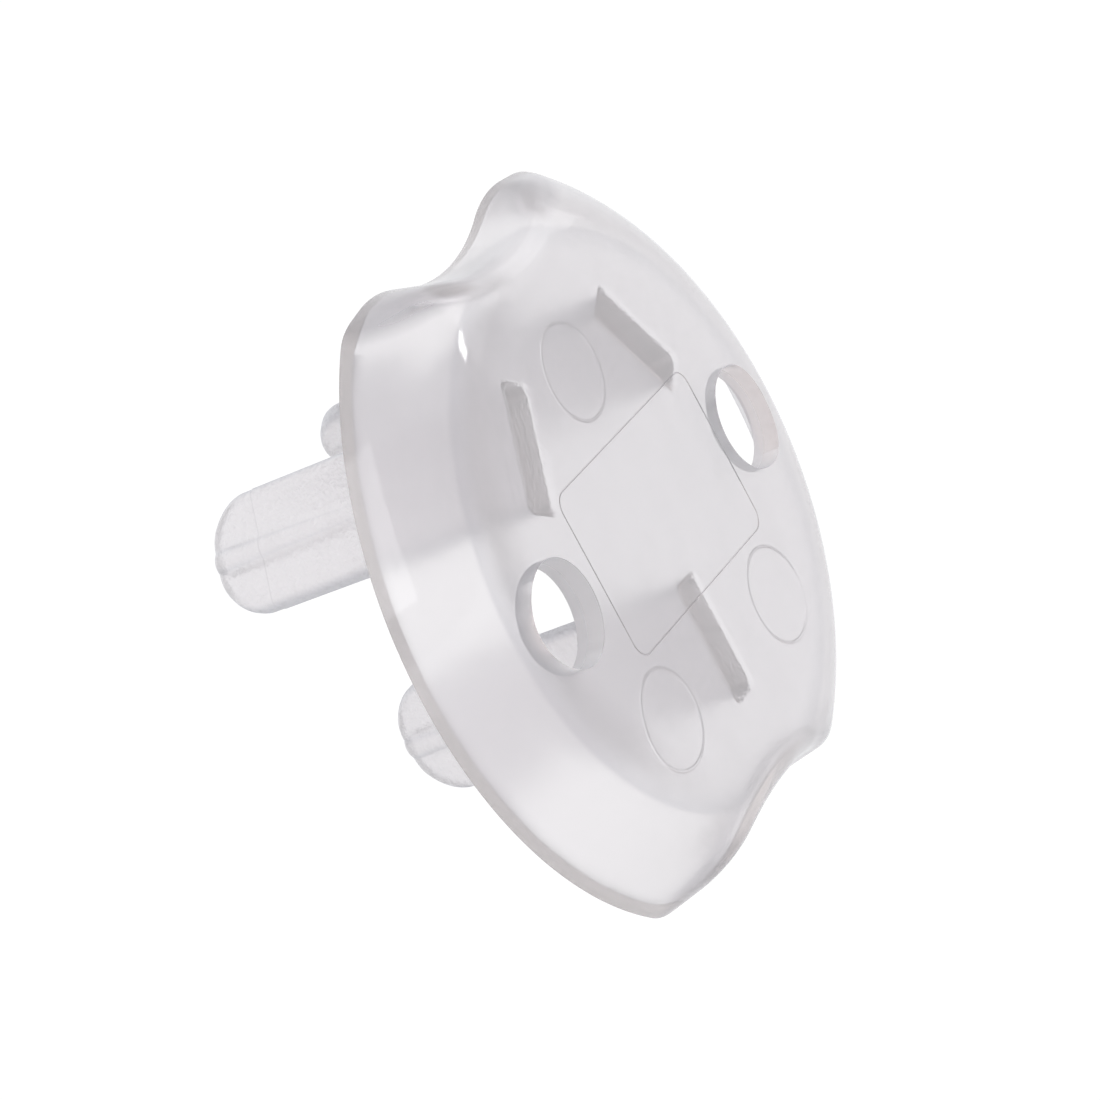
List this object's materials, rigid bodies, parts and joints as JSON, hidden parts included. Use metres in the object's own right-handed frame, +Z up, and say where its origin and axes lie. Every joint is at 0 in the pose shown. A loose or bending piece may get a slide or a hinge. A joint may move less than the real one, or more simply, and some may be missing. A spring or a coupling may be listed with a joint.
{
  "type": "outlet safety cover",
  "caption": "Milky-clear moulded cover whose flat pins block a wall socket: a round crowned skirt, finger scoops at top and bottom, and round holes through its face",
  "frame": {"origin": "centre of the rim's seating plane, midway between the pins, where the cover meets the socket's face", "axes": "X to the right seen from the room, Y into the wall along the pins, Z up with the earth pin lowest"},
  "size_m": [0.0398, 0.0205, 0.0342],
  "materials": {
    "clear_plastic": "milky clear with a satin skin"
  },
  "bodies": {
    "root": {"socket_cover": "clear_plastic"}
  },
  "joints": []
}
